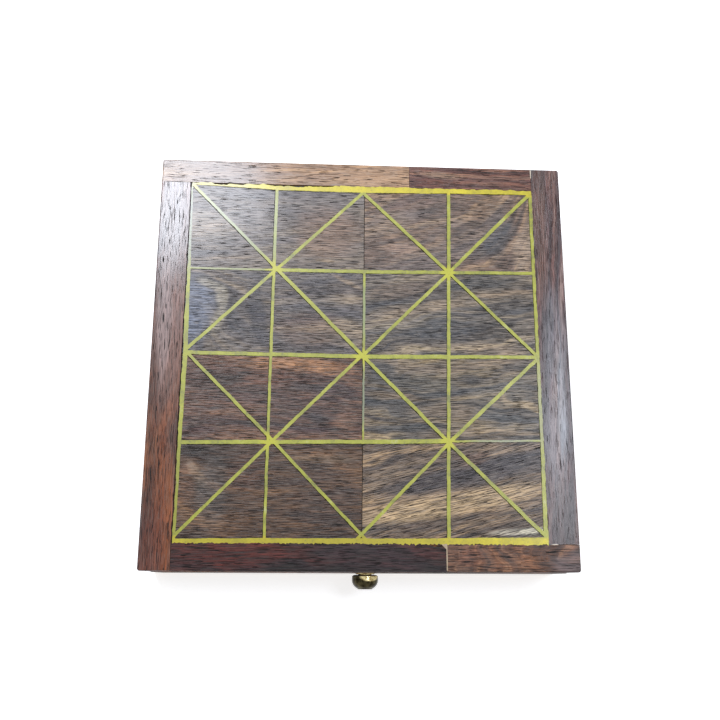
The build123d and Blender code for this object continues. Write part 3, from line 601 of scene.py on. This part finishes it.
rust = "#553629"
slate = "#3a3e43"
slats = {
    "board_slat_1_left": dict(
        turn=risen(0), pith=(0, 70, -60), lean=(1, 0.05, 0), streak=6, seed=21, cool=0.45, pore=(6, 0.3),
        pores=0.9, crowding=0.012, veins=0.2, coat=0.26, fibre=0.8,
        colours=("#3f3833", "#584d45", "#6b5f52", "#826f5d", "#5e5b5e"),
        patches=[
            (26, -3, 20, 15, 0, "#735947", 0.6), (25, -17, 6, 1.5, 0, tan, 0.6),
            (-26, -6, 8, 5, 0, slate, 0.2),
        ],
    ),
    "board_slat_1_right": dict(
        turn=risen(0), pith=(0, 60, -30), lean=(1, 0.38, 0), streak=9, seed=22, crowding=-0.01,
        sweep=(36, 9, 1.3), veins=0.3, coat=0.28,
        colours=("#3e322b", "#5f4c40", "#7c644d", "#94785d", "#504f52"),
        patches=[
            (25, -3, 8, 14, -20, slate, 0.65), (39, -7, 6, 19, -18, "#8c7966", 0.6),
            (-10, 3, 20, 2, 18, tan, 0.4), (-24, -12, 10, 4, 8, "#8a7263", 0.5),
            (8, 2, 15, 2.5, 33, umber, 0.4), (-20, 14, 18, 4, 10, rust, 0.3),
            (20, 13, 14, 3.5, 35, "#4b3b33", 0.6),
        ],
    ),
    "board_slat_2_left": dict(
        turn=risen(0), pith=(0, 60, -50), lean=(1, 0.02, 0), streak=6, wave=2, seed=23, pores=0.75,
        coat=0.22, knot=(-46, 0, 22, 5), veins=0.2, fibre=1.1,
        colours=("#2e2a29", "#48403d", "#5f5449", "#7b6b58", "#46474d"),
        patches=[
            (-39, 1, 12, 21, 0, "#5e6472", 0.75), (-33, 15, 8, 3, -25, "#918877", 0.55),
            (-26, 8, 8, 3.5, -75, "#918877", 0.55), (-26, -5, 9, 3.5, -105, "#918877", 0.5),
            (-20.5, 3, 12, 2.5, 85, umber, 0.4), (-8, -1, 21, 5, -74, "#232229", 0.75),
            (18, -9, 18, 10, 0, rust, 0.3), (24, 13, 12, 5, 0, umber, 0.3),
            (35, 15.5, 10, 1.5, -27, tan, 0.35),
        ],
    ),
    "board_slat_2_right": dict(
        turn=risen(1), pith=(0, 60, -50), lean=(1, 0.2, 0.03), streak=3.5, wave=4, seed=24, veins=0.7,
        pores=0.75, crowding=0.005, fray=0.8,
        colours=("#292729", "#4c443c", "#706354", "#918066", "#474a4e"),
        patches=[
            (-22, 14, 20, 6, 3, "#43342f", 0.5), (16, 17, 28, 4, 3, "#2e3236", 0.7),
            (-14, 2, 28, 5, 8, tan, 0.4), (26, 10.5, 20, 2.5, 4, tan, 0.5),
            (2, -6, 40, 4.5, 11, slate, 0.5), (20, -17, 22, 4, 0, tan, 0.4),
            (-18, -15, 14, 0.8, 0, umber, 0.5),
        ],
    ),
    "board_slat_3_left": dict(
        turn=risen(0), pith=(0, 60, -45), lean=(1, -0.03, 0.04), seed=25, cool=0.3, pores=0.75, rays=0.2,
        crowding=0.005, fibre=1.15,
        colours=("#251913", "#432c22", "#5a3f2f", "#7e593d", "#3e3736"),
        patches=[
            (11, 14.5, 28, 4, 0, "#8e6440", 0.5), (-1, 8, 13, 4, 0, "#664230", 0.4),
            (0, -10, 40, 7, 0, "#2b2224", 0.45), (21, -9, 5, 4, 0, slate, 0.35),
            (36, -12, 9, 5, 0, "#755643", 0.6), (-18, -2, 16, 4, 0, "#46302a", 0.5),
            (-33, -4, 14, 3.5, 0, "#382a28", 0.7), (-35, -16, 12, 3.5, 0, "#38292a", 0.6),
            (14, -17, 16, 3, 0, "#33262a", 0.6), (30, 2, 14, 6, 0, "#2f2b30", 0.5),
        ],
    ),
    "board_slat_3_right": dict(
        turn=risen(2), pith=(0, 50, -50), lean=(1, 0.09, 0.05), streak=3.5, wave=5, seed=26, veins=0.7,
        pores=0.75, crowding=0.005, fray=0.8,
        colours=("#252526", "#4a4138", "#6c5d48", "#8b7759", "#45494c"),
        patches=[
            (0, 17, 46, 2.5, 0, tan, 0.4), (-20, 9, 30, 5, -2, "#2f3335", 0.65),
            (25, 5, 22, 6, 0, slate, 0.3), (-28, 0, 16, 3, 0, tan, 0.4), (-2, -7, 22, 4, 2, tan, 0.4),
            (-36, -12, 6, 1.2, 0, umber, 0.7), (-18, -14, 26, 1, -5, umber, 0.5),
            (10, -18, 38, 2.5, 0, tan, 0.35),
        ],
    ),
    "board_slat_4_left": dict(
        turn=risen(0), pith=(0, 60, -40), lean=(1, 0.02, 0), streak=5, wave=2, seed=27, cool=0.3,
        pores=0.75, rays=0.18, crowding=0.005, knot=(-44, 3, 16, 2.5), fibre=1.05,
        colours=("#20140d", "#3a281b", "#513823", "#6d4f33", "#382c26"),
        patches=[
            (-39, 5, 7, 12, 0, "#6a4c38", 0.5), (-34, 9, 9, 3, -52, "#7f6d5a", 0.4),
            (-26, 0, 9, 20, 0, "#58504a", 0.45), (-11, 9, 10, 10, 0, "#4a3023", 0.5),
            (26, -2, 20, 18, 0, "#2b2120", 0.5), (24, 15.5, 20, 2.5, 0, tan, 0.2),
        ],
    ),
    "board_slat_4_right": dict(
        turn=risen(13), pith=(0, 60, -55), lean=(1, 0.02, 0.02), streak=4, wave=2, seed=28, cool=0.3,
        veins=0.8, fray=0.6, crowding=0.005,
        colours=("#261e1c", "#4d3e31", "#705c47", "#927757", "#403f43"),
        patches=[
            (-22, 16, 20, 4, 0, tan, 0.4), (1.6, 7, 48, 5.5, 0, "#29262b", 0.7),
            (11, 14, 10, 5, 0, rust, 0.4), (-1, -4.5, 54, 6.5, -1.6, "#a68d6a", 0.7),
            # The two pale patches in the bottom right corner, "#a39c8c" and "#aea893", are a painted
            # highlight, the glare of the fill lamp.
            (3, -14, 40, 3.5, -6, "#3b302b", 0.5), (25, -25, 17, 2.2, -7, "#a39c8c", 0.6),
            (33, -26.2, 9, 2.6, -9, "#aea893", 0.75),
        ],
    ),
}
for node, figure in slats.items():
    board(node, **figure)


# Playing pieces: pawns turned on a small lathe, tall ones in dark rosewood and short ones in pale boxwood,
# and lacquered while they spin. The grain runs up each pawn.
length_on_z = (0, math.pi / 2, 0)
board(
    "tiger_pieces", length_on_z, pith=(0, 60, 30), lean=(1, 0.02, 0.04), gloss=0.22, pores=0.5, fibre=0.4,
    rays=0, seed=31, colours=("#1d0c0a", "#3a1712", "#55241a", "#713424", "#2a1413"),
)
board(
    "goat_pieces", length_on_z, pith=(0, 70, 40), lean=(1, 0.02, 0.03), streak=3, gloss=0.25, pores=0.15,
    fibre=0.25, rays=0, seed=32, colours=("#b08a52", "#c8a468", "#d8b87e", "#e3c994", "#bf9c66"),
)


# Game lines: a paste of wood dust, glue and yellow pigment, pressed into the saw cuts and sanded level.
# It has shrunk from the cut's walls in places and smeared over them in others, so its edges are ragged.
def filler_paste(name, stops, speck, axis, reach, outer_stops, fades_and_painted_shade):
    """Sanded filler, mottled over 8 mm, with specks of wood dust 0.8 mm apart, patches where it faded, and
    painted shade.

    Its shades change past reach mm along one axis. Scales are per mm."""
    mottle_scale = 0.12
    dust_scale = 1.2
    material = bpy.data.materials.new(name)
    material.use_nodes = True
    tree = material.node_tree
    shader = tree.nodes["Principled BSDF"]
    place = add(tree, "TexCoord", {}).outputs["Object"]
    mm = add(tree, "VectorMath", {0: place, "Scale": 1000}, operation="SCALE").outputs[0]
    mottle = add(
        tree, "TexNoise", {"Vector": mm, "Scale": mottle_scale, "Detail": 6, "Roughness": 0.75},
    ).outputs[0]
    inner = add(tree, "ValToRGB", {"Fac": mottle}, stops=stops).outputs[0]
    outer = add(tree, "ValToRGB", {"Fac": mottle}, stops=outer_stops).outputs[0]
    far = add(tree, "SeparateXYZ", {0: mm}).outputs[axis]
    far = add(tree, "Math", {0: far}, operation="ABSOLUTE").outputs[0]
    far = add(tree, "MapRange", {"Value": far, "From Min": reach, "From Max": reach + 1}).outputs[0]
    colour = add(tree, "Mix", {0: far, 6: inner, 7: outer}, data_type="RGBA").outputs[2]
    for patch in fades_and_painted_shade:
        colour = stain_or_painted_light(tree, colour, mm, patch)
    dust = add(
        tree, "TexNoise", {"Vector": mm, "Scale": dust_scale, "Detail": 3, "Roughness": 0.7},
    ).outputs["Fac"]
    dust = add(
        tree, "MapRange", {"Value": dust, "From Min": 0.58, "From Max": 0.72, "To Max": 0.7},
    ).outputs[0]
    colour = add(tree, "Mix", {0: dust, 6: colour, 7: linear(speck)}, data_type="RGBA").outputs[2]
    tree.links.new(colour, shader.inputs["Base Color"])
    rough = add(tree, "MapRange", {"Value": mottle, "To Min": 0.35, "To Max": 0.55}).outputs[0]
    tree.links.new(rough, shader.inputs["Roughness"])
    shader.inputs["Coat Weight"].default_value = 0.24
    shader.inputs["Coat Roughness"].default_value = 0.16
    bump = add(tree, "Bump", {"Height": mottle, "Strength": 0.4, "Distance": 0.0002})
    tree.links.new(bump.outputs[0], shader.inputs["Normal"])
    return material


weld = 0.000001


def line_outline():
    """The outline of the game lines on the board's face, as bare edges of at most 0.5 mm."""
    longest = 0.0005
    halvings = 8
    low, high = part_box("line_inlay")
    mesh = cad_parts["line_inlay"].data.copy()
    lines = bpy.data.objects.new("line_filler", mesh)
    bpy.context.collection.objects.link(lines)
    deselect()
    lines.select_set(True)
    bpy.context.view_layer.objects.active = lines
    bpy.ops.object.mode_set(mode="EDIT")
    bpy.ops.mesh.select_mode(type="FACE")
    bpy.ops.mesh.select_all(action="SELECT")
    bpy.ops.mesh.remove_doubles(threshold=weld)
    bpy.ops.mesh.select_all(action="DESELECT")
    bpy.ops.object.mode_set(mode="OBJECT")
    for face in mesh.polygons:
        face.select = face.center.z > high.z - weld
    bpy.ops.object.mode_set(mode="EDIT")
    bpy.ops.mesh.region_to_loop()
    bpy.ops.mesh.select_all(action="INVERT")
    bpy.ops.mesh.delete(type="EDGE_FACE")
    bpy.ops.mesh.select_all(action="SELECT")
    bpy.ops.mesh.delete_loose(use_verts=True, use_edges=False, use_faces=False)
    for halving in range(halvings):
        bpy.ops.object.mode_set(mode="OBJECT")
        for edge in mesh.edges:
            start, end = [mesh.vertices[index].co for index in edge.vertices]
            edge.select = (end - start).length > longest
        bpy.ops.object.mode_set(mode="EDIT")
        bpy.ops.mesh.subdivide(number_cuts=1)
    bpy.ops.object.mode_set(mode="OBJECT")
    return lines


def roughen(lines, group, direction, strength, grain, middle, chosen):
    """Pushes the chosen outline points along one axis, by up to strength, with a noise of this grain.

    Each axis has a noise of its own kind, so that the points don't all move along one diagonal."""
    points = lines.vertex_groups.new(name=group)
    points.add([vertex.index for vertex in lines.data.vertices if chosen(vertex.co)], 1, "REPLACE")
    noise = bpy.data.textures.new(group, type="CLOUDS")
    noise.noise_scale = grain
    noise.noise_basis = "IMPROVED_PERLIN" if direction == "X" else "ORIGINAL_PERLIN"
    push = lines.modifiers.new(group, "DISPLACE")
    push.texture = noise
    push.texture_coords = "LOCAL"
    push.vertex_group = group
    push.direction = direction
    push.strength = strength
    push.mid_level = middle


# The paste wanders in all the cuts, and is worst along the board's edges. At the back it has cracked for a
# stretch. It has shrunk off the left and front wall of each cut and lies a hair over the opposite ones.
low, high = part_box("line_inlay")
touch = 0.0001
crack_start = -0.076
crack_end = -0.012
half_depth = 0.0004
smear = 0.00002
shrinkage = 0.00025
lines = line_outline()
for group, direction, strength, grain, middle, chosen in (
    ("wander_x", "X", 0.0006, 0.008, 0.5, lambda point: True),
    ("wander_y", "Y", 0.0006, 0.008, 0.5, lambda point: True),
    ("ragged_x", "X", 0.0004, 0.0012, 0.5, lambda point: True),
    ("ragged_y", "Y", 0.0004, 0.0012, 0.5, lambda point: True),
    ("left_edge", "X", 0.0013, 0.004, 0.3, lambda point: point.x < low.x + touch),
    ("right_edge", "X", -0.0009, 0.003, 0.2, lambda point: point.x > high.x - touch),
    ("back_edge", "Y", -0.0016, 0.003, 0.3, lambda point: point.y > high.y - touch),
    (
        "back_crack", "Y", -0.0022, 0.0025, 0.2,
        lambda point: point.y > high.y - touch and crack_start < point.x < crack_end,
    ),
    ("front_edge", "Y", -0.0026, 0.001, 0.35, lambda point: point.y < low.y + touch),
):
    roughen(lines, group, direction, strength, grain, middle, chosen)
apply_modifiers(lines)
bpy.ops.object.convert(target="CURVE")
lines = bpy.context.object
lines.data.dimensions = "2D"
lines.data.fill_mode = "BOTH"
lines.data.extrude = half_depth
lines.location = (shrinkage, shrinkage, cad_box[1].z + smear - half_depth)
bpy.ops.object.convert(target="MESH")
lines = settle(bpy.context.object, "line_filler")
bpy.ops.object.mode_set(mode="EDIT")
bpy.ops.mesh.select_all(action="SELECT")
bpy.ops.mesh.remove_doubles(threshold=weld)
bpy.ops.mesh.normals_make_consistent(inside=False)
bpy.ops.object.mode_set(mode="OBJECT")
lines.data.materials.clear()
crossing = "#a7a416"
lines.data.materials.append(filler_paste(
    "yellow_line_filler", stops=[(0.34, "#696a2c"), (0.46, "#878824"), (0.58, "#959627"), (0.68, "#a1a166")],
    speck="#5d5a30", axis="Y", reach=85.5,
    outer_stops=[(0.32, "#908406"), (0.5, "#b0a204"), (0.66, "#c3b40c")],
    fades_and_painted_shade=[
        (68, -42, 20, 4, 0, "#828474", 0.7), (-20, -88, 85, 3, 0, "#8a7f04", 0.6),
        (-86, -65, 28, 3, 90, "#6c6b1a", 0.5), (86, -22, 24, 3, 90, "#83826c", 0.5),
        (0, -21, 17, 4, 90, "#6c7260", 0.85), (0, 22, 17, 4, 90, "#77805a", 0.8),
        (-66, 44, 22, 4, 0, "#7f836e", 0.6), (-65, 67, 26, 4, -45, "#848b70", 0.65),
        (-44, 66, 22, 2.5, 90, "#8e9668", 0.5), (-86, 68, 26, 2.5, 90, "#6f746a", 0.8),
        (-44, 44, 5, 5, 0, crossing, 0.8), (42.4, 43.4, 5, 5, 0, crossing, 0.8),
        (-0.5, 0, 5, 5, 0, crossing, 0.8), (-44, -42, 5, 5, 0, crossing, 0.8),
        (41, -41.6, 5, 5, 0, crossing, 0.8),
    ],
))
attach(lines, "case")
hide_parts("line_inlay")


# Wood filler in the border's joints: pale paste where the strips don't quite meet.
# It is chalky and dries a little unevenly. At one joint the inner end is painted near black, the painted
# shade of an open gap.
# Painted shade: the inner end of one joint is coloured near black, standing for the shade of an open gap.
painted_gap_shade = (86.5, -89, 2.8, 1, 0, "#1c1512", 1)
finish_node("joint_filler", filler_paste(
    "pale_wood_filler", stops=[(0.3, "#7d6b54"), (0.5, "#968267"), (0.7, "#ad9a7e")],
    speck="#8a755c", axis="X", reach=80,
    outer_stops=[(0.3, "#a3967f"), (0.5, "#b9ac98"), (0.7, "#c9bfae")],
    fades_and_painted_shade=[painted_gap_shade],
))


# Stage: a pale floor that turns white behind the object, two soft lamps and an even white surround.
# The window lamp stands behind the back left corner, where the polish mirrors it.
def seen_rays(tree):
    """1 where a surface is seen, straight on, mirrored or through glass, and 0 where it only lights."""
    rays = add(tree, "LightPath", {}).outputs
    seen = add(tree, "Math", {0: rays["Is Camera Ray"], 1: rays["Is Glossy Ray"]}, operation="MAXIMUM")
    return add(
        tree, "Math", {0: seen.outputs[0], 1: rays["Is Transmission Ray"]}, operation="MAXIMUM",
    ).outputs[0]


def floor_white():
    """White floor for the eye and in mirrors, with the object's shadow kept: it glows a little there."""
    glow_strength = 0.6
    material = bpy.data.materials.new("white_floor")
    material.use_nodes = True
    tree = material.node_tree
    shader = tree.nodes["Principled BSDF"]
    shader.inputs["Base Color"].default_value = linear("#f4f4f4")
    shader.inputs["Roughness"].default_value = 0.9
    shader.inputs["Specular IOR Level"].default_value = 0
    glow = add(tree, "Math", {0: seen_rays(tree), 1: glow_strength}, operation="MULTIPLY").outputs[0]
    tree.links.new(glow, shader.inputs["Emission Strength"])
    shader.inputs["Emission Color"].default_value = linear("#ffffff")
    return material


deselect()
bpy.ops.mesh.primitive_plane_add(size=40, location=(0, 0, 0))
floor = bpy.context.object
floor.name = "floor"
floor.data.materials.append(floor_white())

world = bpy.data.worlds.new("studio")
bpy.context.scene.world = world
world.use_nodes = True
sky = world.node_tree.nodes["Background"]
wall_light = 0.48
level = add(
    world.node_tree, "MapRange", {"Value": seen_rays(world.node_tree), "To Min": wall_light, "To Max": 1},
).outputs[0]
world.node_tree.links.new(level, sky.inputs["Strength"])
sky.inputs["Color"].default_value = linear("#ffffff")


def soft_lamp(name, place, aim, size, power, code):
    """A square area lamp that faces a point, with its light's colour."""
    deselect()
    bpy.ops.object.light_add(type="AREA", location=place)
    lamp = bpy.context.object
    lamp.name = name
    lamp.data.size = size
    lamp.data.energy = power
    lamp.data.color = linear(code)[:3]
    lamp.rotation_euler = (Vector(aim) - Vector(place)).to_track_quat("-Z", "Y").to_euler()


board_middle = (0, 0, cad_box[1].z)
soft_lamp("window", place=(-0.255, 0.535, 0.93), aim=board_middle, size=0.26, power=10.5, code="#edf3ff")
soft_lamp("fill", place=(0.50, 0.15, 1.2), aim=board_middle, size=0.36, power=5, code="#ecf2ff")

# Camera: above the board and a little towards its front, where the photograph was taken.
camera_place = Vector((-0.0230, -0.1070, 0.4519))
camera_aim = Vector((-0.0012, -0.0020, 0.0440))
camera_roll = math.radians(12.3)
focal_length = 43.56
deselect()
bpy.ops.object.camera_add(location=camera_place)
camera = bpy.context.object
look = (camera_aim - camera_place).to_track_quat("-Z", "Y").to_matrix()
camera.rotation_euler = (look @ Matrix.Rotation(camera_roll, 3, "Z")).to_euler()
camera.data.lens = focal_length
camera.data.sensor_width = 36
bpy.context.scene.camera = camera
bpy.context.scene.view_settings.view_transform = "Standard"
